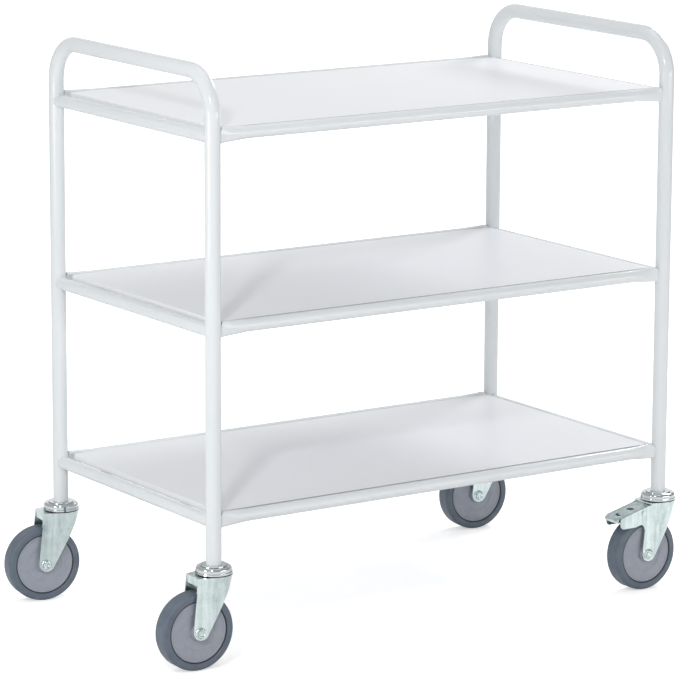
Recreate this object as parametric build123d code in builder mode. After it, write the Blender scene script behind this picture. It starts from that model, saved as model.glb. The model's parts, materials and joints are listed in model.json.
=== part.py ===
from build123d import *
from math import acos, atan2, cos, hypot, pi, radians, sin, sqrt, tan
import os

os.makedirs("parts", exist_ok=True)

# Shelf trolley of bent tube on four swivel castors. All sizes are in millimetres and degrees.
# The origin is on the floor, under the middle of the whole trolley. X runs along the shelves,
# Y runs from the front to the back, Z is up.

# Hoops and rails
post_spacing_x = 880.0
post_spacing_y = 482.0
overall_height = 945.0
hoop_diameter = 25.0
hoop_wall = 1.5
hoop_bend_radius = 65.0
rail_diameter = 20.0
rail_wall = 1.5
pressed_end_width = 9.5
pressed_end_rise = 2.0
pressed_end_flare = 50.0
pressed_end_corner = 8.0

# Shelf boards, which lie inside the frame of their four rails. A shelf's height is its board's top.
bottom_shelf_height = 244.0
handle_rise = 97.0
board_thickness = 10.0
board_side_gap = 1.5
board_end_gap = 7.5
board_corner_radius = 6.0
board_arris = 0.6
long_rail_rise = 1.3
end_rail_drop = 2.7

# Tabs welded to the end rails under the boards, and the screws that go up through them
tab_thickness = 3.0
tab_reach = 32.0
tab_tip_radius = 9.0
tab_root_width = 30.0
screw_spacing = 250.0
screw_diameter = 4.0
screw_head_diameter = 8.0
screw_head_height = 2.6
screw_depth_in_board = 7.0

# Castors: general sizes
castor_height = 165.0
swivel_trail = 35.0
wheel_diameter = 125.0
rest_yaw = {"front_left": -2.5, "rear_left": -8.5, "front_right": 1.0, "rear_right": -5.0}
braked_corners = ("front_right", "rear_right")

# Wheel and tyre
tyre_width = 32.0
tyre_shoulder_radius = 6.0
tyre_edge_chamfer = 1.0
rim_diameter = 98.0
rim_width = 28.0
rim_seat_width = 23.0
rim_groove = 1.4
rim_arris = 0.7
face_ring_width = 3.5
face_recess = 0.8
inner_ring_radius = 30.0
inner_ring_step = 0.6
hub_diameter = 26.0
hub_side_gap = 0.4

# Axle
bush_diameter = 12.0
bolt_diameter = 8.0
bolt_flange_diameter = 18.0
bolt_flange_thickness = 1.6
bolt_hex_across_flats = 13.0
bolt_hex_height = 4.4
nut_height = 6.5
bolt_thread_past_nut = 1.5

# Fork, pressed from one sheet: a round crown that runs down into two legs
fork_sheet = 2.5
fork_inner_width = 36.0
crown_top_gap = 15.0
crown_diameter = 60.0
crown_rear = -38.0
cup_waist_drop = 42.0
leg_tip_radius = 14.0
leg_tip_forward = 2.0
leg_tip_up = 2.0
leg_front_reach = 32.0
rear_lip_height = 13.0

# Swivel head: chromed ring over a race of balls, and the king bolt
head_ring_diameter = 59.0
head_ring_gap = 1.5
head_flange_height = 2.6
head_groove_depth = 1.8
head_groove_height = 0.8
head_dome_inset = 1.0
head_ring_shoulder = 4.5
head_collar_diameter = 42.0
head_collar_height = 2.0
head_hub_gap = 0.5
race_ball_diameter = 6.0
race_pitch_radius = 21.5
race_ball_count = 8
race_ball_gap = 0.3
race_wall_gap = 0.6
king_bolt_diameter = 12.0
king_flange_diameter = 26.0
king_flange_thickness = 3.0
king_flange_gap = 0.4
king_hex_across_flats = 19.0
king_hex_height = 7.0

# Expander that grips the king bolt in the post
expander_length = 36.0
expander_slot_width = 2.0
expander_slot_foot = 6.0
expander_nut_height = 12.0
expander_nut_taper = 2.0
king_bolt_past_nut = 2.0

# Foot brake between two arms of the fork
braked_crown_rear = -31.0
arm_top_front = (-22.0, 149.0)
arm_top_rear = (-96.0, 131.0)
arm_bottom_rear = (-93.0, 113.0)
arm_bottom_middle = (-62.0, 113.0)
arm_arch = (-47.0, 118.0)
arm_leg_foot = (-41.0, 98.0)
arm_corner_radius = 6.0
arm_arch_radius = 9.0
brake_pivot = (-46.0, 134.0)
brake_pin_diameter = 6.0
brake_pin_head_diameter = 9.0
brake_pin_head_height = 1.6
pedal_sheet = 2.0
pedal_side_gap = 0.8
pedal_front_gap = 2.0
pedal_lug_radius = 5.5
pedal_travel = 10.0
pedal_curl_radius = 3.5
pedal_curl_angle = 150.0
pedal_slot = (9.0, 15.0)
pedal_slot_from_rear = 38.0
pedal_window = (7.0, 16.0)
pedal_window_from_rear = 12.0
pedal_window_angle = 60.0
block_width = 20.0
block_rear = -72.0
block_front = -54.0
block_gap_when_pressed = 0.5

# Fits
fit_gap = 0.05
bolt_hole_gap = 0.15
running_gap = 0.08

# Values worked out from the ones above
wheel_radius = wheel_diameter / 2
post_x = post_spacing_x / 2
post_y = post_spacing_y / 2
frame_x = (swivel_trail + wheel_radius - crown_diameter / 2) / 2
hoop_radius = hoop_diameter / 2
hoop_bore_radius = hoop_radius - hoop_wall
handle_height = overall_height - hoop_radius
rail_radius = rail_diameter / 2
pressed_end_height = (pi * rail_diameter - (pi - 2) * pressed_end_width) / 2
shelf_pitch = (overall_height - handle_rise - bottom_shelf_height) / 2
shelf_heights = {
    "bottom": bottom_shelf_height,
    "middle": bottom_shelf_height + shelf_pitch,
    "top": bottom_shelf_height + 2 * shelf_pitch,
}
corners = {
    "front_left": (frame_x - post_x, -post_y),
    "rear_left": (frame_x - post_x, post_y),
    "front_right": (frame_x + post_x, -post_y),
    "rear_right": (frame_x + post_x, post_y),
}
screw_x = post_x - tab_reach
screw_y = screw_spacing / 2
screw_places = [
    (frame_x - screw_x, -screw_y),
    (frame_x - screw_x, screw_y),
    (frame_x + screw_x, -screw_y),
    (frame_x + screw_x, screw_y),
]
crown_top = castor_height - crown_top_gap
cup_waist = crown_top - cup_waist_drop
leg_inner = fork_inner_width / 2
leg_outer = leg_inner + fork_sheet
bush_radius = bush_diameter / 2
bolt_radius = bolt_diameter / 2
king_radius = king_bolt_diameter / 2


def save(piece, label):
    piece.part.label = label
    export_step(piece.part, f"parts/{label}.step")


def oval(height, width, wall):
    """Ring of sheet round an oval: two sides, and a round top and bottom."""
    with BuildSketch() as section:
        for inset, mode in ((0.0, Mode.ADD), (wall, Mode.SUBTRACT)):
            half = width / 2 - inset
            side = (height - width) / 2
            with BuildSketch(mode=mode):
                with BuildLine():
                    Line((half, -side), (half, side))
                    ThreePointArc((half, side), (0, side + half), (-half, side))
                    Line((-half, side), (-half, -side))
                    ThreePointArc((-half, -side), (0, -side - half), (half, -side))
                make_face()
    return section.sketch


def quartered_circle(radius, wall):
    """Ring of the same four stretches as the oval, so that the two blend without a twist."""
    with BuildSketch() as section:
        for size, mode in ((radius, Mode.ADD), (radius - wall, Mode.SUBTRACT)):
            with BuildSketch(mode=mode):
                with BuildLine():
                    CenterArc((0, 0), size, -45, 90)
                    CenterArc((0, 0), size, 45, 90)
                    CenterArc((0, 0), size, 135, 90)
                    CenterArc((0, 0), size, 225, 90)
                make_face()
    return section.sketch


def make_hoop(label, x):
    with BuildPart() as hoop:
        with BuildLine(Plane.YZ.offset(x)):
            FilletPolyline(
                (-post_y, castor_height),
                (-post_y, handle_height),
                (post_y, handle_height),
                (post_y, castor_height),
                radius=hoop_bend_radius,
            )
        with BuildSketch(Plane.XY.offset(castor_height)):
            with Locations((x, -post_y)):
                Circle(hoop_radius)
                Circle(hoop_bore_radius, mode=Mode.SUBTRACT)
        sweep()
    save(hoop, label)


def make_long_rail(label, y, shelf_height):
    """Front or back rail: round tube whose pressed, upright oval ends are welded to the posts."""
    end_section = oval(pressed_end_height, pressed_end_width, rail_wall)
    mid_section = quartered_circle(rail_radius, rail_wall)
    mid_axis = shelf_height + long_rail_rise - rail_radius
    end_top = shelf_height + long_rail_rise + pressed_end_rise
    end_axis = end_top - pressed_end_height / 2
    flare_start = post_x - hoop_radius
    flare_end = flare_start - pressed_end_flare
    rounding = flare_start - pressed_end_corner
    with BuildPart() as rail:
        with BuildSketch(Plane(origin=(frame_x - flare_end, y, mid_axis), x_dir=(0, 1, 0), z_dir=(1, 0, 0))):
            add(mid_section)
        extrude(amount=2 * flare_end)
        for side in (-1, 1):
            inner_end = (frame_x + side * flare_end, y, mid_axis)
            outer_end = (frame_x + side * flare_start, y, end_axis)
            with BuildSketch(Plane(origin=inner_end, x_dir=(0, side, 0), z_dir=(side, 0, 0))):
                add(mid_section)
            with BuildSketch(Plane(origin=outer_end, x_dir=(0, side, 0), z_dir=(side, 0, 0))):
                add(end_section)
            loft()
            with BuildSketch(Plane(origin=outer_end, x_dir=(0, side, 0), z_dir=(side, 0, 0))):
                add(end_section)
            extrude(amount=hoop_radius)
        with BuildSketch(Plane.XY.offset(shelf_height - 2 * rail_diameter)):
            with Locations((frame_x - post_x, y), (frame_x + post_x, y)):
                Circle(hoop_radius)
        extrude(amount=3 * rail_diameter, mode=Mode.SUBTRACT)
        # The upper corner of each pressed end is rounded off beside its post
        for side in (-1, 1):
            with BuildSketch(Plane.XZ.offset(-y)):
                with Locations((frame_x + side * flare_start, end_top)):
                    Rectangle(2 * pressed_end_corner, 2 * pressed_end_corner)
                with Locations((frame_x + side * rounding, end_top - pressed_end_corner)):
                    Circle(pressed_end_corner, mode=Mode.SUBTRACT)
            extrude(amount=rail_diameter, both=True, mode=Mode.SUBTRACT)
    save(rail, label)


def make_end_rail(label, side, shelf_height):
    """Left or right rail: round tube coped to the posts, with two tabs for the board's screws."""
    x = frame_x + side * post_x
    axis_height = shelf_height - end_rail_drop - rail_radius
    tab_root = x - side * (rail_radius - rail_wall / 2)
    tab_hole = frame_x + side * screw_x
    with BuildPart() as rail:
        with BuildSketch(Plane(origin=(x, -post_y, axis_height), x_dir=(1, 0, 0), z_dir=(0, 1, 0))):
            Circle(rail_radius)
            Circle(rail_radius - rail_wall, mode=Mode.SUBTRACT)
        extrude(amount=post_spacing_y)
        with BuildSketch(Plane.XY.offset(shelf_height - 2 * rail_diameter)):
            with Locations((x, -post_y), (x, post_y)):
                Circle(hoop_radius)
        extrude(amount=3 * rail_diameter, mode=Mode.SUBTRACT)
        for y in (-screw_y, screw_y):
            with BuildSketch(Plane.XY.offset(shelf_height - board_thickness)):
                with BuildLine():
                    CenterArc((tab_hole, y), tab_tip_radius, 0, 360)
                    Line((tab_root, y - tab_root_width / 2), (tab_root, y + tab_root_width / 2))
                make_hull()
                with Locations((tab_hole, y)):
                    Circle(screw_diameter / 2 + bolt_hole_gap, mode=Mode.SUBTRACT)
            extrude(amount=-tab_thickness)
    save(rail, label)


def make_board(label, shelf_height):
    """Shelf board with rounded corners and pilot holes for its screws."""
    length = post_spacing_x - rail_diameter - 2 * board_end_gap
    width = post_spacing_y - rail_diameter - 2 * board_side_gap
    underside = shelf_height - board_thickness
    with BuildPart() as board:
        with BuildSketch(Plane.XY.offset(underside)):
            with Locations((frame_x, 0)):
                RectangleRounded(length, width, board_corner_radius)
        extrude(amount=board_thickness)
        chamfer(board.faces().sort_by(Axis.Z)[-1].edges(), board_arris)
        chamfer(board.faces().sort_by(Axis.Z)[0].edges(), board_arris)
        with BuildSketch(Plane.XY.offset(underside)):
            with Locations(*screw_places):
                Circle(screw_diameter / 2)
        extrude(amount=screw_depth_in_board, mode=Mode.SUBTRACT)
    save(board, label)


def make_board_screws():
    """Pan head screws: each goes up through a tab into the board."""
    with BuildPart() as screws:
        for shelf_height in shelf_heights.values():
            tab_underside = shelf_height - board_thickness - tab_thickness
            with BuildSketch(Plane.XY.offset(tab_underside)):
                with Locations(*screw_places):
                    Circle(screw_diameter / 2)
            extrude(amount=tab_thickness + screw_depth_in_board)
            with BuildSketch(Plane.XY.offset(tab_underside)):
                with Locations(*screw_places):
                    Circle(screw_head_diameter / 2)
            extrude(amount=-screw_head_height)
    save(screws, "board_screws")


def castor_base(corner):
    """Floor plane of a castor: origin under its swivel axis, the wheel trails towards -X."""
    x, y = corners[corner]
    yaw = radians(rest_yaw[corner])
    return Plane(origin=(x, y, 0), x_dir=(cos(yaw), sin(yaw), 0), z_dir=(0, 0, 1))


def side_plane(base, across=0.0):
    """Side view of a castor: local X is along its fork, local Y is up."""
    return Plane(origin=base.from_local_coords((0, across, 0)), x_dir=base.x_dir, z_dir=-base.y_dir)


def axle_plane(base, across=0.0):
    """Plane square to the axle, with its origin on the axle."""
    centre = base.from_local_coords((-swivel_trail, -across, wheel_radius))
    return Plane(origin=centre, x_dir=base.x_dir, z_dir=-base.y_dir)


def wheel_section_plane(base):
    """Section through the wheel: local X is along the axle, local Y is the radius."""
    centre = base.from_local_coords((-swivel_trail, 0, wheel_radius))
    return Plane(origin=centre, x_dir=base.y_dir, z_dir=base.x_dir)


def arm_top(x):
    """Height of the sloping top edge of the brake arms."""
    slope = (arm_top_front[1] - arm_top_rear[1]) / (arm_top_front[0] - arm_top_rear[0])
    return arm_top_front[1] + (x - arm_top_front[0]) * slope


def cup_outline(front_radius, inset, rear):
    """Plan of the fork's cup: straight sides that flare out into a round front."""
    corner_distance = hypot(crown_rear, leg_outer)
    touch_angle = atan2(leg_outer, crown_rear) - acos(front_radius / corner_distance)
    side = leg_outer - inset
    flare_start = crown_rear + inset * tan((touch_angle - pi / 2) / 2)
    touch_x = (front_radius - inset) * cos(touch_angle)
    touch_y = (front_radius - inset) * sin(touch_angle)
    with BuildSketch() as outline:
        with BuildLine():
            Line((rear, -side), (flare_start, -side))
            Line((flare_start, -side), (touch_x, -touch_y))
            ThreePointArc((touch_x, -touch_y), (front_radius - inset, 0), (touch_x, touch_y))
            Line((touch_x, touch_y), (flare_start, side))
            Line((flare_start, side), (rear, side))
            Line((rear, side), (rear, -side))
        make_face()
    return outline.sketch


def leg_outline(rear):
    """Side view of the fork: from the crown down to the round tips at the axle."""
    tip = (leg_tip_forward - swivel_trail, wheel_radius + leg_tip_up)
    with BuildSketch() as outline:
        with BuildLine():
            CenterArc(tip, leg_tip_radius, 0, 360)
            Line((rear, crown_top), (leg_front_reach, crown_top))
        make_hull()
    return outline.sketch


def make_fork(corner, braked):
    base = castor_base(corner)
    rear_end = crown_rear - 2 * leg_tip_radius
    leg_end = wheel_radius - 2 * leg_tip_radius
    crown_outer = cup_outline(crown_diameter / 2, 0.0, rear_end)
    waist_outer = cup_outline(leg_outer, 0.0, rear_end)
    crown_inner = cup_outline(crown_diameter / 2, fork_sheet, rear_end - fork_sheet)
    waist_inner = cup_outline(leg_outer, fork_sheet, rear_end - fork_sheet)
    side_outline = leg_outline(crown_rear)

    with BuildPart() as hollow:
        with BuildSketch(base.offset(crown_top)):
            add(crown_inner)
        with BuildSketch(base.offset(cup_waist)):
            add(waist_inner)
        loft()
        split(bisect_by=base.offset(crown_top - fork_sheet), keep=Keep.BOTTOM)
        with BuildSketch(base.offset(cup_waist)):
            add(waist_inner)
        extrude(amount=leg_end - fork_sheet - cup_waist)

    with BuildPart() as fork:
        with BuildSketch(base.offset(crown_top)):
            add(crown_outer)
        with BuildSketch(base.offset(cup_waist)):
            add(waist_outer)
        loft()
        with BuildSketch(base.offset(cup_waist)):
            add(waist_outer)
        extrude(amount=leg_end - cup_waist)
        add(hollow.part, mode=Mode.SUBTRACT)
        with BuildSketch(side_plane(base)):
            add(side_outline)
        extrude(amount=crown_diameter, both=True, mode=Mode.INTERSECT)
        if braked:
            # The crown ends sooner, and the sides slope down into the arms
            with BuildSketch(side_plane(base)):
                with BuildLine():
                    Polyline(
                        (braked_crown_rear, 2 * crown_top),
                        (braked_crown_rear, arm_top(braked_crown_rear)),
                        (2 * arm_top_rear[0], arm_top(2 * arm_top_rear[0])),
                        (2 * arm_top_rear[0], 2 * crown_top),
                        close=True,
                    )
                make_face()
            extrude(amount=crown_diameter, both=True, mode=Mode.SUBTRACT)
            for side in (-1, 1):
                with BuildSketch(side_plane(base, side * (leg_inner + fork_sheet / 2))):
                    with BuildLine():
                        Polyline(
                            (braked_crown_rear, arm_top(braked_crown_rear)),
                            arm_top_rear,
                            arm_bottom_rear,
                            arm_bottom_middle,
                            arm_arch,
                            arm_leg_foot,
                            (braked_crown_rear, arm_leg_foot[1]),
                            close=True,
                        )
                    arm = make_face()
                    arm = fillet(arm.vertices().sort_by(Axis.X)[3], arm_arch_radius)
                    fillet(arm.vertices().sort_by(Axis.X)[:2], arm_corner_radius)
                extrude(amount=fork_sheet / 2, both=True)
            with BuildSketch(side_plane(base)):
                with Locations(brake_pivot):
                    Circle(brake_pin_diameter / 2 + fit_gap)
            extrude(amount=crown_diameter, both=True, mode=Mode.SUBTRACT)
        else:
            # Down-turned lip across the rear of the crown
            with BuildSketch(side_plane(base)):
                with Locations((crown_rear, crown_top)):
                    Rectangle(fork_sheet, rear_lip_height, align=(Align.MIN, Align.MAX))
            extrude(amount=leg_outer, both=True)
        with BuildSketch(axle_plane(base)):
            Circle(bolt_radius + bolt_hole_gap)
        extrude(amount=crown_diameter, both=True, mode=Mode.SUBTRACT)
        with BuildSketch(base.offset(crown_top)):
            Circle(king_radius + running_gap)
        extrude(amount=-2 * fork_sheet, mode=Mode.SUBTRACT)
    save(fork, f"{corner}_fork")


def make_head_ring(corner):
    """Chromed upper race: flange, groove and domed body over the balls, and a raised collar."""
    base = castor_base(corner)
    ring_radius = head_ring_diameter / 2
    ring_top = castor_height - head_collar_height
    ceiling = crown_top + race_ball_gap + race_ball_diameter
    race_half = race_ball_diameter / 2 + race_wall_gap
    flange_top = crown_top + head_ring_gap + head_flange_height
    groove_top = flange_top + head_groove_height
    dome_radius = ring_radius - head_dome_inset
    shoulder_start = ring_top - head_ring_shoulder
    shoulder_bend = head_ring_shoulder * (1 - sqrt(0.5))
    with BuildPart() as ring:
        with BuildSketch(side_plane(base)):
            with BuildLine():
                Polyline(
                    (king_radius + fit_gap, crown_top + head_hub_gap),
                    (race_pitch_radius - race_half, crown_top + head_hub_gap),
                    (race_pitch_radius - race_half, ceiling),
                    (race_pitch_radius + race_half, ceiling),
                    (race_pitch_radius + race_half, crown_top + head_ring_gap),
                    (ring_radius, crown_top + head_ring_gap),
                    (ring_radius, flange_top),
                    (ring_radius - head_groove_depth, flange_top),
                    (ring_radius - head_groove_depth, groove_top),
                    (dome_radius, groove_top),
                    (dome_radius, shoulder_start),
                )
                ThreePointArc(
                    (dome_radius, shoulder_start),
                    (dome_radius - shoulder_bend, ring_top - shoulder_bend),
                    (dome_radius - head_ring_shoulder, ring_top),
                )
                Polyline(
                    (dome_radius - head_ring_shoulder, ring_top),
                    (head_collar_diameter / 2, ring_top),
                    (head_collar_diameter / 2, castor_height),
                    (king_radius + fit_gap, castor_height),
                    (king_radius + fit_gap, crown_top + head_hub_gap),
                )
            make_face()
        revolve(axis=Axis(base.origin, (0, 0, 1)))
    save(ring, f"{corner}_head_ring")


def make_race_balls():
    with BuildPart() as balls:
        for corner in corners:
            base = castor_base(corner)
            centre_height = crown_top + race_ball_gap + race_ball_diameter / 2
            with Locations(base.offset(centre_height)):
                with PolarLocations(race_pitch_radius, race_ball_count):
                    Sphere(race_ball_diameter / 2)
    save(balls, "race_balls")


def make_king_bolts():
    """Each king bolt runs from its flange under the fork's crown up through the expander."""
    flange_top = crown_top - fork_sheet - king_flange_gap
    flange_bottom = flange_top - king_flange_thickness
    shank_top = castor_height + expander_length + expander_nut_height + king_bolt_past_nut
    with BuildPart() as bolts:
        for corner in corners:
            base = castor_base(corner)
            with BuildSketch(base.offset(flange_bottom)):
                Circle(king_radius)
            extrude(amount=shank_top - flange_bottom)
            with BuildSketch(base.offset(flange_bottom)):
                Circle(king_flange_diameter / 2)
            extrude(amount=king_flange_thickness)
            with BuildSketch(base.offset(flange_bottom)):
                RegularPolygon(king_hex_across_flats / 2, 6, major_radius=False)
            extrude(amount=-king_hex_height)
    save(bolts, "king_bolts")


def make_expander(corner):
    """Split sleeve in the post's foot, spread by a cone nut."""
    base = castor_base(corner)
    sleeve_radius = hoop_bore_radius - fit_gap
    with BuildPart() as sleeve:
        with BuildSketch(base.offset(castor_height)):
            Circle(sleeve_radius)
            Circle(king_radius + fit_gap, mode=Mode.SUBTRACT)
        extrude(amount=expander_length)
        with BuildSketch(base.offset(castor_height + expander_slot_foot)):
            Rectangle(2 * hoop_diameter, expander_slot_width)
            Rectangle(expander_slot_width, 2 * hoop_diameter)
        extrude(amount=expander_length, mode=Mode.SUBTRACT)
    save(sleeve, f"{corner}_expander")


def make_expander_nuts():
    nut_radius = hoop_bore_radius - fit_gap
    with BuildPart() as nuts:
        for corner in corners:
            base = castor_base(corner)
            with BuildSketch(base.offset(castor_height + expander_length)):
                Circle(nut_radius - expander_nut_taper)
            with BuildSketch(base.offset(castor_height + expander_length + expander_nut_height)):
                Circle(nut_radius)
            loft()
            with BuildSketch(base.offset(castor_height + expander_length)):
                Circle(king_radius + fit_gap)
            extrude(amount=expander_nut_height, mode=Mode.SUBTRACT)
    save(nuts, "expander_nuts")


def make_wheel_centre(corner):
    """Moulded wheel: hub, shallow dished faces and a rim that carries the tyre."""
    base = castor_base(corner)
    hub_half = leg_inner - hub_side_gap
    hub_radius = hub_diameter / 2
    rim_radius = rim_diameter / 2
    rim_half = rim_width / 2
    dish_half = rim_half - face_recess
    dish_radius = rim_radius - face_ring_width
    bore_radius = bush_radius + running_gap
    with BuildPart() as wheel:
        with BuildSketch(wheel_section_plane(base)):
            with BuildLine():
                Polyline(
                    (0, bore_radius),
                    (hub_half, bore_radius),
                    (hub_half, hub_radius - face_recess),
                    (hub_half - face_recess, hub_radius),
                    (dish_half - inner_ring_step, hub_radius),
                    (dish_half - inner_ring_step, inner_ring_radius - inner_ring_step),
                    (dish_half, inner_ring_radius),
                    (dish_half, dish_radius - face_recess),
                    (rim_half, dish_radius),
                    (rim_half, rim_radius - rim_arris),
                    (rim_half - rim_arris, rim_radius),
                    (0, rim_radius),
                )
                mirror(about=Plane.YZ)
            make_face()
        revolve(axis=Axis(wheel_section_plane(base).origin, base.y_dir))
    save(wheel, f"{corner}_wheel_centre")


def make_tyre(corner):
    """Tyre with round shoulders; a groove keeps its sides clear of the rim's edge."""
    base = castor_base(corner)
    tyre_half = tyre_width / 2
    seat_half = rim_seat_width / 2
    rim_radius = rim_diameter / 2
    bend = tyre_shoulder_radius * (1 - sqrt(0.5))
    with BuildPart() as tyre:
        with BuildSketch(wheel_section_plane(base)):
            with BuildLine():
                Polyline(
                    (0, rim_radius),
                    (seat_half, rim_radius),
                    (seat_half, rim_radius + rim_groove),
                    (tyre_half - tyre_edge_chamfer, rim_radius + rim_groove),
                    (tyre_half, rim_radius + rim_groove + tyre_edge_chamfer),
                    (tyre_half, wheel_radius - tyre_shoulder_radius),
                )
                ThreePointArc(
                    (tyre_half, wheel_radius - tyre_shoulder_radius),
                    (tyre_half - bend, wheel_radius - bend),
                    (tyre_half - tyre_shoulder_radius, wheel_radius),
                )
                Line((tyre_half - tyre_shoulder_radius, wheel_radius), (0, wheel_radius))
                mirror(about=Plane.YZ)
            make_face()
        revolve(axis=Axis(wheel_section_plane(base).origin, base.y_dir))
    save(tyre, f"{corner}_tyre")


def make_axle(corner):
    """Bush between the legs, flanged hexagon bolt through it, and the nut on the far side."""
    base = castor_base(corner)
    with BuildPart() as bush:
        with BuildSketch(axle_plane(base)):
            Circle(bush_radius)
            Circle(bolt_radius + fit_gap, mode=Mode.SUBTRACT)
        extrude(amount=leg_inner, both=True)
    save(bush, f"{corner}_axle_bush")

    with BuildPart() as bolt:
        with BuildSketch(axle_plane(base, leg_outer)):
            Circle(bolt_radius)
        extrude(amount=-(2 * leg_outer + nut_height + bolt_thread_past_nut))
        with BuildSketch(axle_plane(base, leg_outer)):
            Circle(bolt_flange_diameter / 2)
        extrude(amount=bolt_flange_thickness)
        with BuildSketch(axle_plane(base, leg_outer + bolt_flange_thickness)):
            RegularPolygon(bolt_hex_across_flats / 2, 6, major_radius=False)
        extrude(amount=bolt_hex_height)
    save(bolt, f"{corner}_axle_bolt")

    with BuildPart() as nut:
        with BuildSketch(axle_plane(base, -leg_outer)):
            RegularPolygon(bolt_hex_across_flats / 2, 6, major_radius=False)
            Circle(bolt_radius + fit_gap, mode=Mode.SUBTRACT)
        extrude(amount=-nut_height)
    save(nut, f"{corner}_axle_nut")


def make_brake(corner):
    """Foot pedal on its pin between the fork's arms, with a block that presses on the tread."""
    base = castor_base(corner)
    half_width = leg_inner - pedal_side_gap
    pedal_front = braked_crown_rear - pedal_front_gap
    pedal_rear = arm_top_rear[0]
    sheet_drop = pedal_sheet / 2
    lug_rear = brake_pivot[0] - pedal_lug_radius
    lug_front = brake_pivot[0] + pedal_lug_radius
    along = hypot(arm_top_front[0] - arm_top_rear[0], arm_top_front[1] - arm_top_rear[1])
    along_x = (arm_top_front[0] - arm_top_rear[0]) / along
    along_z = (arm_top_front[1] - arm_top_rear[1]) / along
    sheet_front = (pedal_front, arm_top(pedal_front) - sheet_drop)
    sheet_rear = (pedal_rear, arm_top(pedal_rear) - sheet_drop)
    plate_origin = base.from_local_coords((pedal_rear, 0, arm_top(pedal_rear)))
    plate_x = base.x_dir * along_x + Vector(0, 0, along_z)
    plate_normal = base.z_dir * along_x - base.x_dir * along_z
    plate = Plane(origin=plate_origin, x_dir=plate_x, z_dir=plate_normal)

    with BuildPart() as pedal:
        with BuildSketch(side_plane(base)):
            with BuildLine():
                flat = Line(sheet_front, sheet_rear)
                JernArc(flat @ 1, flat % 1, pedal_curl_radius, pedal_curl_angle)
            trace(line_width=pedal_sheet)
        extrude(amount=half_width, both=True)
        for side in (-1, 1):
            with BuildSketch(side_plane(base, side * (half_width - pedal_sheet / 2))):
                with BuildLine():
                    CenterArc(brake_pivot, pedal_lug_radius, 0, 360)
                    Line(
                        (lug_rear, arm_top(lug_rear) - sheet_drop),
                        (lug_front, arm_top(lug_front) - sheet_drop),
                    )
                make_hull()
            extrude(amount=pedal_sheet / 2, both=True)
        with BuildSketch(side_plane(base)):
            with Locations(brake_pivot):
                Circle(brake_pin_diameter / 2 + running_gap)
        extrude(amount=half_width, both=True, mode=Mode.SUBTRACT)
        with BuildSketch(plate):
            with Locations((pedal_slot_from_rear, 0)):
                Ellipse(pedal_slot[0] / 2, pedal_slot[1] / 2)
            with Locations((pedal_window_from_rear, 0)):
                Trapezoid(pedal_window[1], pedal_window[0], pedal_window_angle, rotation=90)
        extrude(amount=2 * pedal_sheet, both=True, mode=Mode.SUBTRACT)
    save(pedal, f"{corner}_brake_pedal")

    # The block's face fits the tread in the pressed position, so the wheel's centre is
    # turned back about the pivot by the pedal's travel
    turn = radians(pedal_travel)
    wheel_x = -swivel_trail - brake_pivot[0]
    wheel_z = wheel_radius - brake_pivot[1]
    seen_x = brake_pivot[0] + wheel_x * cos(turn) + wheel_z * sin(turn)
    seen_z = brake_pivot[1] - wheel_x * sin(turn) + wheel_z * cos(turn)
    with BuildPart() as block:
        with BuildSketch(side_plane(base)):
            with BuildLine():
                Polyline(
                    (block_rear, arm_top(block_rear) - pedal_sheet / along_x),
                    (block_front, arm_top(block_front) - pedal_sheet / along_x),
                    (block_front, wheel_radius),
                    (block_rear, wheel_radius),
                    close=True,
                )
            make_face()
            with Locations((seen_x, seen_z)):
                Circle(wheel_radius + block_gap_when_pressed, mode=Mode.SUBTRACT)
        extrude(amount=block_width / 2, both=True)
    save(block, f"{corner}_brake_block")

    with BuildPart() as pin:
        with BuildSketch(side_plane(base)):
            with Locations(brake_pivot):
                Circle(brake_pin_diameter / 2)
        extrude(amount=leg_outer, both=True)
        for side in (-1, 1):
            with BuildSketch(side_plane(base, side * (leg_outer + brake_pin_head_height / 2))):
                with Locations(brake_pivot):
                    Circle(brake_pin_head_diameter / 2)
            extrude(amount=brake_pin_head_height / 2, both=True)
    save(pin, f"{corner}_brake_pin")


make_hoop("left_hoop", frame_x - post_x)
make_hoop("right_hoop", frame_x + post_x)
for shelf, height in shelf_heights.items():
    make_long_rail(f"{shelf}_front_rail", -post_y, height)
    make_long_rail(f"{shelf}_back_rail", post_y, height)
    make_end_rail(f"{shelf}_left_rail", -1, height)
    make_end_rail(f"{shelf}_right_rail", 1, height)
    make_board(f"{shelf}_board", height)
make_board_screws()
for corner in corners:
    make_head_ring(corner)
    make_expander(corner)
    make_fork(corner, corner in braked_corners)
    make_axle(corner)
    make_wheel_centre(corner)
    make_tyre(corner)
make_race_balls()
make_king_bolts()
make_expander_nuts()
for corner in braked_corners:
    make_brake(corner)
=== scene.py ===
import json
from math import cos, pi, radians, sin, sqrt

import bmesh
import bpy
from mathutils import Matrix, Vector


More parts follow.
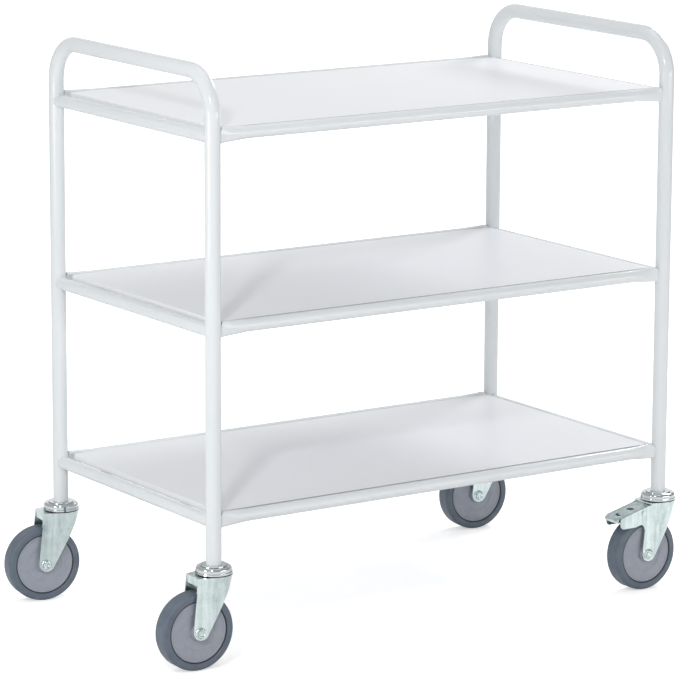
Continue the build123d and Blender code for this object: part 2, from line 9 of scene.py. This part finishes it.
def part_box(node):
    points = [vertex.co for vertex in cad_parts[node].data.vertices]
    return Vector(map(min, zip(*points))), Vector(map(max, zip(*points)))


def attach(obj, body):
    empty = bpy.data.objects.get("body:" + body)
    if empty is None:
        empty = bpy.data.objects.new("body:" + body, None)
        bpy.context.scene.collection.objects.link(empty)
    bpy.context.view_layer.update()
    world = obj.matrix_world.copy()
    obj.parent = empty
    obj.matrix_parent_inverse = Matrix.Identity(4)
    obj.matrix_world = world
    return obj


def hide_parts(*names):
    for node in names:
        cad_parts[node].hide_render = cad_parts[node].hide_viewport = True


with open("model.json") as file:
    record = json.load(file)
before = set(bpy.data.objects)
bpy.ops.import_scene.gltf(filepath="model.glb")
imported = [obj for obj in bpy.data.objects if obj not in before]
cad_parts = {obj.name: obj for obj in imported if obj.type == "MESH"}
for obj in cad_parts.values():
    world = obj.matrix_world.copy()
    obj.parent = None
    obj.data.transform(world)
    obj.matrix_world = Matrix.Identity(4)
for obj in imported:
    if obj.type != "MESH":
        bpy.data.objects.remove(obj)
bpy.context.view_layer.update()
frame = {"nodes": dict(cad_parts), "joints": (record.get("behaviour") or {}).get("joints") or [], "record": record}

# Places that the frame states, in metres
shelves = ("bottom", "middle", "top")
corner_sides = {"front_left": (-1, -1), "rear_left": (-1, 1), "front_right": (1, -1), "rear_right": (1, 1)}
joints = {joint["name"]: joint for joint in frame["joints"]}
posts = {corner: joints[f"{corner}_swivel"]["pos_m"] for corner in corner_sides}
middle_x = (posts["front_left"][0] + posts["front_right"][0]) / 2

# The part's own measures, in metres, as its source states them
hoop_radius = 0.0125
rail_radius = 0.010
pressed_end_width = 0.0095
pressed_end_height = (pi * 2 * rail_radius - (pi - 2) * pressed_end_width) / 2
pressed_end_top = 0.0033
pressed_end_corner = 0.008
end_rail_drop = 0.0027
leg_outer = 0.0205

# Weld beads
weld_radius = 0.0011
weld_lift = 0.0003
weld_steps = 72
ripple_count = 9
ripple_depth = 0.10
swell_count = 2
swell_depth = 0.08
taper_steps = 5
taper_start = 0.35
phase_by_side_x = 1.3
phase_by_side_y = 0.7
phase_by_height = 40.0

# Axle bolt with a flanged hexagon head, by distances from the middle of the wheel
bolt_end = 0.0285
bolt_top = 0.0265
shank_radius = 0.0040
tip_chamfer = 0.0008
flange_radius = 0.0090
flange_edge = 0.0002
flange_rim = 0.0009
flange_height = 0.0018
cone_radius = 0.0074
half_across_flats = 0.0065
head_chamfer = 0.0009
head_chamfer_hexagon = 0.35
head_crown_radius = 0.0059
head_edge = 0.0001
hollow_mouth_radius = 0.0047
hollow_radius = 0.0042
hollow_low_radius = 0.0038
hollow_floor_radius = 0.0030
hollow_mouth_depth = 0.0005
hollow_low_depth = 0.0019
hollow_depth = 0.0022

# Painted shade: a dark ring in the groove between the wheel centre and the tyre, standing in for the groove's
# shade
shade_ring_radius = 0.0498
shade_ring_across = 0.0142
shade_ring_thickness = 0.0009
shade_ring_steps = 96

# Camera, fitted to the straight lines of the photograph
camera_azimuth = radians(-33.709)
camera_elevation = radians(11.702)
camera_roll = radians(0.233)
camera_lens = 198.875
camera_sensor = 36.0
camera_reach = 60.0
camera_distance = 6.22026
camera_aim_height = 0.5
camera_aim = Vector((middle_x, 0.0, camera_aim_height))
camera_right = 0.03716
camera_up = 0.06878

# Pale floor, whose glow grows with the distance from the trolley's middle
floor_reach = 12.0
floor_colour = (0.85, 0.85, 0.85)
glow_start = 0.7
glow_end = 2.6
glow_near = 0.50
glow_far = 0.95
glow_in_mirrors = 0.18

# White backdrop behind the trolley and a dimmer studio round it. Each fade runs between two values of
# how far a direction of length one goes towards the backdrop, up or to the right.
backdrop_way = (-sin(camera_azimuth), cos(camera_azimuth))
fade_towards = (0.78, 0.90)
fade_up = (0.30, 0.48)
fade_right = (-0.3, 0.8)
studio_left = 0.56
studio_right = 0.36


class Nodes:
    """Short calls for building one node tree."""

    def __init__(self, owner):
        owner.use_nodes = True
        self.tree = owner.node_tree

    def node(self, kind, **settings):
        made = self.tree.nodes.new(kind)
        for key, value in settings.items():
            setattr(made, key, value)
        return made

    def feed(self, socket, value):
        """A number or a colour is set on the socket, and anything else is linked to it."""
        if isinstance(value, float):
            socket.default_value = value
        elif isinstance(value, tuple):
            socket.default_value = (*value, 1.0)
        else:
            self.tree.links.new(value, socket)

    def maths(self, operation, *values):
        made = self.node("ShaderNodeMath", operation=operation)
        for socket, value in zip(made.inputs, values):
            self.feed(socket, value)
        return made.outputs["Value"]

    def ramp(self, value, source, target, shape="LINEAR"):
        """Takes the source range to the target range and stays inside it."""
        made = self.node("ShaderNodeMapRange", interpolation_type=shape)
        made.inputs["From Min"].default_value, made.inputs["From Max"].default_value = source
        made.inputs["To Min"].default_value, made.inputs["To Max"].default_value = target
        self.feed(made.inputs["Value"], value)
        return made.outputs["Result"]

    def mix(self, share, first, second):
        made = self.node("ShaderNodeMix", data_type="RGBA")
        self.feed(made.inputs["Factor"], share)
        self.feed(made.inputs["A"], first)
        self.feed(made.inputs["B"], second)
        return made.outputs["Result"]


class Shader(Nodes):
    """A material of its own, built round its Principled shader."""

    noise_middle = (0.3, 0.7)
    full = (0.0, 1.0)

    def __init__(self, name):
        self.material = bpy.data.materials.new(name)
        super().__init__(self.material)
        self.bsdf = self.tree.nodes["Principled BSDF"]
        self.coords = self.node("ShaderNodeTexCoord").outputs["Object"]

    def noise(self, scale, detail=3.0, roughness=0.5, scale_up=1.0):
        """Noise with its scale by the metre, which scale_up changes along the height."""
        made = self.node("ShaderNodeTexNoise")
        made.inputs["Scale"].default_value = scale
        made.inputs["Detail"].default_value = detail
        made.inputs["Roughness"].default_value = roughness
        mapping = self.node("ShaderNodeMapping")
        mapping.inputs["Scale"].default_value = (1.0, 1.0, scale_up)
        self.feed(mapping.inputs["Vector"], self.coords)
        self.feed(made.inputs["Vector"], mapping.outputs["Vector"])
        return made.outputs["Fac"]

    def blend(self, first, second, share):
        """The second value counts with its share, and the first with the rest."""
        kept = self.maths("MULTIPLY", first, 1.0 - share)
        added = self.maths("MULTIPLY", second, share)
        return self.maths("ADD", kept, added)

    def metal(self):
        self.bsdf.inputs["Metallic"].default_value = 1.0

    def colour(self, value):
        self.feed(self.bsdf.inputs["Base Color"], value)

    def tones(self, grain, dark, light):
        return self.mix(self.ramp(grain, self.noise_middle, self.full), dark, light)

    def gloss(self, grain, smooth, rough, source=noise_middle):
        self.feed(self.bsdf.inputs["Roughness"], self.ramp(grain, source, (smooth, rough)))

    def bump(self, height, depth, strength):
        made = self.node("ShaderNodeBump")
        made.inputs["Distance"].default_value = depth
        made.inputs["Strength"].default_value = strength
        self.feed(made.inputs["Height"], height)
        self.feed(self.bsdf.inputs["Normal"], made.outputs["Normal"])


# Materials, one function for each slot of the record


def tube_paint():
    """Baked powder paint: fine orange peel, a little tone change, half gloss."""
    s = Shader("tube_paint")
    s.colour(s.tones(s.noise(7.0, detail=4.0), dark=(0.755, 0.79, 0.805), light=(0.78, 0.815, 0.83)))
    s.gloss(s.noise(160.0), smooth=0.12, rough=0.17)
    s.bump(s.noise(900.0, detail=2.0), depth=0.00004, strength=0.6)
    return s.material


def board_laminate():
    """Smooth melamine face with a fine pearl grain; its end edges are painted paler as painted light, and its side
    edges painted dark as painted shade of the gap beside the rails.
    """
    s = Shader("board_laminate")
    tone = s.tones(s.noise(420.0), dark=(0.82, 0.83, 0.86), light=(0.84, 0.85, 0.88))
    facing = s.node("ShaderNodeSeparateXYZ")
    s.feed(facing.inputs["Vector"], s.node("ShaderNodeNewGeometry").outputs["Normal"])
    # Painted light and shade by the way a face points: ends painted paler, sides painted dark for the shadow gap
    # beside the rails.
    for way, painted_edge_tone in (("X", (0.92, 0.93, 0.945)), ("Y", (0.45, 0.46, 0.47))):
        on_edge = s.maths("ABSOLUTE", facing.outputs[way])
        tone = s.mix(s.ramp(on_edge, s.noise_middle, s.full), tone, painted_edge_tone)
    s.colour(tone)
    s.gloss(s.noise(300.0), smooth=0.30, rough=0.40)
    s.bump(s.noise(1500.0, detail=2.0), depth=0.00003, strength=0.5)
    return s.material


def chrome_plate():
    """Bright chrome over pressed steel, slightly hazed."""
    s = Shader("chrome_plate")
    s.metal()
    s.colour(s.tones(s.noise(120.0), dark=(0.58, 0.62, 0.63), light=(0.66, 0.70, 0.71)))
    s.gloss(s.noise(350.0, detail=4.0), smooth=0.08, rough=0.16)
    return s.material


def zinc_steel():
    """Bright zinc plate: faint mottling, fine rolling marks, soft upright streaks and a cool sheen."""
    mottling_middle = (0.35, 0.65)
    streak_middle = (0.36, 0.62)
    s = Shader("zinc_steel")
    s.metal()
    rolling_marks = s.noise(700.0, detail=2.0, scale_up=0.12)
    mottling = s.blend(s.noise(90.0, detail=5.0), rolling_marks, share=0.4)
    streaks = s.noise(95.0, detail=4.0, roughness=0.6, scale_up=0.07)
    clear_mottling = s.ramp(mottling, mottling_middle, s.full)
    clear_streaks = s.ramp(streaks, streak_middle, s.full)
    worn = s.blend(clear_mottling, clear_streaks, share=0.6)
    s.colour(s.mix(worn, (0.50, 0.59, 0.59), (0.80, 0.90, 0.895)))
    s.gloss(mottling, smooth=0.20, rough=0.28, source=mottling_middle)
    s.bump(s.noise(500.0), depth=0.00003, strength=0.5)
    return s.material


def bearing_steel():
    """Polished balls under a film of grease."""
    s = Shader("bearing_steel")
    s.metal()
    s.colour(s.tones(s.noise(300.0), dark=(0.42, 0.42, 0.40), light=(0.55, 0.55, 0.54)))
    s.gloss(s.noise(300.0), smooth=0.15, rough=0.30)
    return s.material


def tyre_rubber():
    """Blue-grey rubber with a dry, slightly dusty tread."""
    s = Shader("tyre_rubber")
    s.colour(s.tones(s.noise(60.0, detail=6.0), dark=(0.10, 0.13, 0.17), light=(0.13, 0.16, 0.20)))
    s.gloss(s.noise(220.0, detail=4.0), smooth=0.42, rough=0.58)
    s.bump(s.noise(1100.0), depth=0.00006, strength=0.6)
    return s.material


def wheel_plastic():
    """Moulded wheel centre, half matt, with the fine grain of its mould."""
    s = Shader("wheel_plastic")
    s.colour(s.tones(s.noise(80.0, detail=5.0), dark=(0.295, 0.32, 0.375), light=(0.335, 0.36, 0.415)))
    s.gloss(s.noise(500.0), smooth=0.42, rough=0.55)
    s.bump(s.noise(1400.0, detail=2.0), depth=0.00004, strength=0.5)
    return s.material


def expander_plastic():
    """Nearly black moulded plastic."""
    s = Shader("expander_plastic")
    s.colour(s.tones(s.noise(200.0), dark=(0.02, 0.02, 0.022), light=(0.035, 0.035, 0.038)))
    s.gloss(s.noise(400.0), smooth=0.40, rough=0.55)
    return s.material


makers = (
    tube_paint,
    board_laminate,
    chrome_plate,
    zinc_steel,
    bearing_steel,
    tyre_rubber,
    wheel_plastic,
    expander_plastic,
)
materials = {maker.__name__: maker() for maker in makers}

for entry in frame["record"]["subparts"]:
    node = frame["nodes"][entry["node"]]
    node.data.materials.clear()
    node.data.materials.append(materials[entry["material_slot"]])


# Pieces


def piece(name, slot, body, make, *measures):
    """A mesh object of its own that takes a slot's material and moves with a body."""
    bm = bmesh.new()
    make(bm, *measures)
    bmesh.ops.recalc_face_normals(bm, faces=bm.faces)
    mesh = bpy.data.meshes.new(name)
    bm.to_mesh(mesh)
    bm.free()
    for face in mesh.polygons:
        face.use_smooth = True
    mesh.materials.append(materials[slot])
    made = bpy.data.objects.new(name, mesh)
    bpy.context.scene.collection.objects.link(made)
    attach(made, body)
    return made


def skin(bm, rings):
    """Faces between each ring of points and the next."""
    for near, far in zip(rings, rings[1:]):
        for k in range(len(near)):
            after = (k + 1) % len(near)
            bm.faces.new((near[k], near[after], far[after], far[k]))


def bead(bm, path, radii, closed, sides=8):
    """Round bead along a path, either closed or shut by a flat face at both ends."""
    rings = []
    for i, point in enumerate(path):
        behind = path[i - 1] if closed or i else point
        ahead = path[(i + 1) % len(path)] if closed or i < len(path) - 1 else point
        along = (ahead - behind).normalized()
        across = along.orthogonal() if i == 0 else across - along * across.dot(along)
        across.normalize()
        other = along.cross(across)
        ring = []
        for k in range(sides):
            angle = 2 * pi * k / sides
            ring.append(bm.verts.new(point + (across * cos(angle) + other * sin(angle)) * radii[i]))
        rings.append(ring)
    if closed:
        # The rings have turned a little on their way round, so the last joins the first where it fits best
        best = min(range(sides), key=lambda k: (rings[0][k].co - rings[-1][0].co).length)
        skin(bm, [*rings, rings[0][best:] + rings[0][:best]])
    else:
        skin(bm, rings)
        bm.faces.new(rings[0])
        bm.faces.new(rings[-1])


def weld_radii(phase, closed):
    """Small even ripples, as a weld leaves them, and a slower swell. An open bead thins at its ends."""
    radii = []
    for i in range(weld_steps):
        turn = 2 * pi * i / weld_steps
        ripple = ripple_depth * sin(ripple_count * turn + phase)
        swell = swell_depth * sin(swell_count * turn + 2 * phase)
        taper = 1.0
        if not closed:
            steps_in = min(i, weld_steps - 1 - i)
            taper = min(1.0, taper_start + (1 - taper_start) * steps_in / taper_steps)
        radii.append(weld_radius * (1 + ripple + swell) * taper)
    return radii


def reach_from_post(across):
    """How far from a post's axis a bead lies on its skin, when it is so far to one side."""
    return sqrt((hoop_radius + weld_lift) ** 2 - across ** 2)


def long_rail_weld(corner, height):
    """Down one side of the pressed end, round its bottom and up the other side."""
    half = pressed_end_width / 2
    open_top = height + pressed_end_top - pressed_end_corner
    centre_low = height + pressed_end_top - pressed_end_height + half
    side = open_top - centre_low
    bottom = pi * half
    side_x, _ = corner_sides[corner]
    x, y, _ = posts[corner]
    path = []
    for i in range(weld_steps):
        run = (2 * side + bottom) * i / (weld_steps - 1)
        if run < side:
            across, up = half, open_top - run
        elif run < side + bottom:
            angle = (run - side) / half
            across, up = half * cos(angle), centre_low - half * sin(angle)
        else:
            across, up = -half, centre_low + run - side - bottom
        across *= 1 + weld_lift / half
        path.append(Vector((x - side_x * reach_from_post(across), y + across, up)))
    return path


def end_rail_weld(corner, height):
    """All round the end rail, where it is coped to the post."""
    _, side_y = corner_sides[corner]
    x, y, _ = posts[corner]
    centre = Vector((x, y, height - end_rail_drop - rail_radius))
    path = []
    for i in range(weld_steps):
        angle = 2 * pi * i / weld_steps
        across = (rail_radius + weld_lift) * cos(angle)
        up = (rail_radius + weld_lift) * sin(angle)
        path.append(centre + Vector((across, -side_y * reach_from_post(across), up)))
    return path


def add_welds(shelf, corner):
    """The two beads where a shelf's long rail and end rail meet a post."""
    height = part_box(f"{shelf}_board")[1][2]
    side_x, side_y = corner_sides[corner]
    phase = height * phase_by_height + side_x * phase_by_side_x + side_y * phase_by_side_y
    for kind, weld_path, closed in (("long", long_rail_weld, False), ("end", end_rail_weld, True)):
        path = weld_path(corner, height)
        radii = weld_radii(phase, closed)
        piece(f"weld_{shelf}_{corner}_{kind}", "tube_paint", "frame", bead, path, radii, closed)


def in_wheel(corner, angle, reach, across):
    """Point by its angle and reach round a wheel's axle and its distance out from the wheel's middle."""
    spin = joints[f"{corner}_wheel_spin"]
    axle = Vector(spin["axis"])
    up = Vector((0.0, 0.0, 1.0))
    around = axle.cross(up) * cos(angle) + up * sin(angle)
    return Vector(spin["pos_m"]) + around * reach - axle * across


def turned(bm, corner, profile, sides=48):
    """Solid turned about an axle, by each section's place along it, its radius and how hexagonal it is."""
    rings = []
    for across, radius, hexagon in profile:
        ring = []
        for k in range(sides):
            angle = 2 * pi * k / sides
            hexagon_reach = 1 / cos((angle + pi / 6) % (pi / 3) - pi / 6)
            reach = radius * (1 + hexagon * (hexagon_reach - 1))
            ring.append(bm.verts.new(in_wheel(corner, angle, reach, across)))
        rings.append(ring)
    skin(bm, rings)
    bm.faces.new(rings[0])
    bm.faces.new(rings[-1])


bolt_profile = (
    (-bolt_end, shank_radius - tip_chamfer, 0.0),
    (-bolt_end + tip_chamfer, shank_radius, 0.0),
    (leg_outer, shank_radius, 0.0),
    (leg_outer, flange_radius - flange_edge, 0.0),
    (leg_outer + flange_edge, flange_radius, 0.0),
    (leg_outer + flange_rim, flange_radius, 0.0),
    (leg_outer + flange_height - flange_edge, cone_radius, 0.0),
    (leg_outer + flange_height, half_across_flats, 1.0),
    (bolt_top - head_chamfer, half_across_flats, 1.0),
    (bolt_top - head_chamfer / 3, half_across_flats - head_edge, head_chamfer_hexagon),
    (bolt_top, head_crown_radius, 0.0),
    (bolt_top - head_edge, hollow_mouth_radius, 0.0),
    (bolt_top - hollow_mouth_depth, hollow_radius, 0.0),
    (bolt_top - hollow_low_depth, hollow_low_radius, 0.0),
    (bolt_top - hollow_depth, hollow_floor_radius, 0.0),
)


def add_bolt(corner):
    """Axle bolt with its head chamfered and hollowed, as cold-formed heads are."""
    made = piece(f"{corner}_bolt", "zinc_steel", f"{corner}_castor", turned, corner, bolt_profile)
    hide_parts(f"{corner}_axle_bolt")


def add_shade_rings(corner):
    """A dark ring of painted shade beside the rim, standing in for the groove's shade, on the bolt head's side and
    on the other one.
    """
    for side, name in ((1, "outer"), (-1, "inner")):
        angles = [2 * pi * i / shade_ring_steps for i in range(shade_ring_steps)]
        path = [in_wheel(corner, angle, shade_ring_radius, side * shade_ring_across) for angle in angles]
        radii = [shade_ring_thickness] * shade_ring_steps
        piece(f"{corner}_shade_ring_{name}", "expander_plastic", f"{corner}_wheel", bead, path, radii, True)


for shelf in shelves:
    for corner in corner_sides:
        add_welds(shelf, corner)
for corner in corner_sides:
    add_bolt(corner)
    add_shade_rings(corner)


# Stage


def stage_floor():
    """Floor that takes light and shadow, and glows for camera and mirror rays so that it looks white."""
    mesh = bpy.data.meshes.new("floor")
    outline = [(x * floor_reach, y * floor_reach, 0.0) for x, y in ((-1, -1), (1, -1), (1, 1), (-1, 1))]
    mesh.from_pydata(outline, [], [(0, 1, 2, 3)])
    floor = bpy.data.objects.new("floor", mesh)
    bpy.context.scene.collection.objects.link(floor)
    material = bpy.data.materials.new("floor")
    mesh.materials.append(material)

    s = Nodes(material)
    s.tree.nodes.remove(s.tree.nodes["Principled BSDF"])
    diffuse = s.node("ShaderNodeBsdfDiffuse")
    s.feed(diffuse.inputs["Color"], floor_colour)
    distance = s.node("ShaderNodeVectorMath", operation="LENGTH")
    s.feed(distance.inputs[0], s.node("ShaderNodeTexCoord").outputs["Object"])
    glow = s.ramp(distance.outputs["Value"], (glow_start, glow_end), (glow_near, glow_far), "SMOOTHSTEP")
    rays = s.node("ShaderNodeLightPath").outputs
    seen = s.maths("MULTIPLY", rays["Is Camera Ray"], glow)
    mirrored = s.maths("MULTIPLY", rays["Is Glossy Ray"], glow_in_mirrors)
    emission = s.node("ShaderNodeEmission")
    s.feed(emission.inputs["Strength"], s.maths("ADD", seen, mirrored))
    both = s.node("ShaderNodeAddShader")
    s.feed(both.inputs[0], diffuse.outputs["BSDF"])
    s.feed(both.inputs[1], emission.outputs["Emission"])
    s.feed(s.tree.nodes["Material Output"].inputs["Surface"], both.outputs["Shader"])


def stage_world():
    """The camera sees a white world; the object is lit by the backdrop and the dimmer studio."""
    world = bpy.data.worlds.new("studio")
    bpy.context.scene.world = world
    s = Nodes(world)
    background = s.tree.nodes["Background"]
    s.feed(background.inputs["Color"], (1.0, 1.0, 1.0))
    way = s.node("ShaderNodeSeparateXYZ")
    s.feed(way.inputs["Vector"], s.node("ShaderNodeTexCoord").outputs["Generated"])

    def along(x, y):
        """How far a direction goes along a level one."""
        share_x = s.maths("MULTIPLY", way.outputs["X"], x)
        share_y = s.maths("MULTIPLY", way.outputs["Y"], y)
        return s.maths("ADD", share_x, share_y)

    x, y = backdrop_way
    inside = s.ramp(along(x, y), fade_towards, (0.0, 1.0), "SMOOTHSTEP")
    below = s.ramp(way.outputs["Z"], fade_up, (1.0, 0.0), "SMOOTHSTEP")
    studio = s.ramp(along(y, -x), fade_right, (studio_left, studio_right), "SMOOTHSTEP")
    backdrop = s.maths("MULTIPLY", inside, below)
    added = s.maths("MULTIPLY", backdrop, s.maths("SUBTRACT", 1.0, studio))
    lit = s.maths("ADD", studio, added)
    seen = s.node("ShaderNodeLightPath").outputs["Is Camera Ray"]
    s.feed(background.inputs["Strength"], s.maths("MAXIMUM", lit, seen))


def stage_lamp(name, place, size, power, aim=camera_aim):
    """Rectangular lamp at a place in metres, turned to its aim."""
    data = bpy.data.lights.new(name, "AREA")
    data.shape = "RECTANGLE"
    data.size, data.size_y = size
    data.energy = power
    lamp = bpy.data.objects.new(name, data)
    lamp.location = place
    lamp.rotation_euler = (Vector(aim) - Vector(place)).to_track_quat("-Z", "Y").to_euler()
    bpy.context.scene.collection.objects.link(lamp)


def stage_lamps():
    """A small key, soft lamps at the right and above, and two low ones for the tubes' bright lines."""
    stage_lamp("key", place=(-1.72, -1.62, 1.81), size=(0.16, 0.16), power=16.0)
    stage_lamp("right", place=(2.1, 0.75, 1.80), size=(0.8, 0.5), power=26.0)
    stage_lamp("front_low", place=(1.42, -2.92, 0.75), size=(2.5, 0.45), power=21.0, aim=(0.03, -0.24, 0.55))
    stage_lamp("left_low", place=(-1.9, -0.35, 0.62), size=(0.35, 0.5), power=5.5, aim=(-0.4, -0.24, 0.45))
    stage_lamp("top", place=(0.3, 0.4, 3.4), size=(2.0, 1.6), power=16.0)


def stage_camera():
    """Rolled camera whose aim lies a little to the right of the picture's middle and above it."""
    back = Vector((
        sin(camera_azimuth) * cos(camera_elevation),
        -cos(camera_azimuth) * cos(camera_elevation),
        sin(camera_elevation),
    ))
    level = Vector((cos(camera_azimuth), sin(camera_azimuth), 0.0))
    upright = back.cross(level)
    right = cos(camera_roll) * level + sin(camera_roll) * upright
    up = -sin(camera_roll) * level + cos(camera_roll) * upright
    data = bpy.data.cameras.new("camera")
    data.sensor_width = camera_sensor
    data.lens = camera_lens
    data.clip_end = camera_reach
    camera = bpy.data.objects.new("camera", data)
    camera.matrix_world = Matrix((right, up, back)).transposed().to_4x4()
    camera.location = camera_aim + back * camera_distance - right * camera_right - up * camera_up
    bpy.context.scene.collection.objects.link(camera)
    bpy.context.scene.camera = camera


stage_floor()
stage_world()
stage_lamps()
stage_camera()
bpy.context.scene.view_settings.view_transform = "Standard"
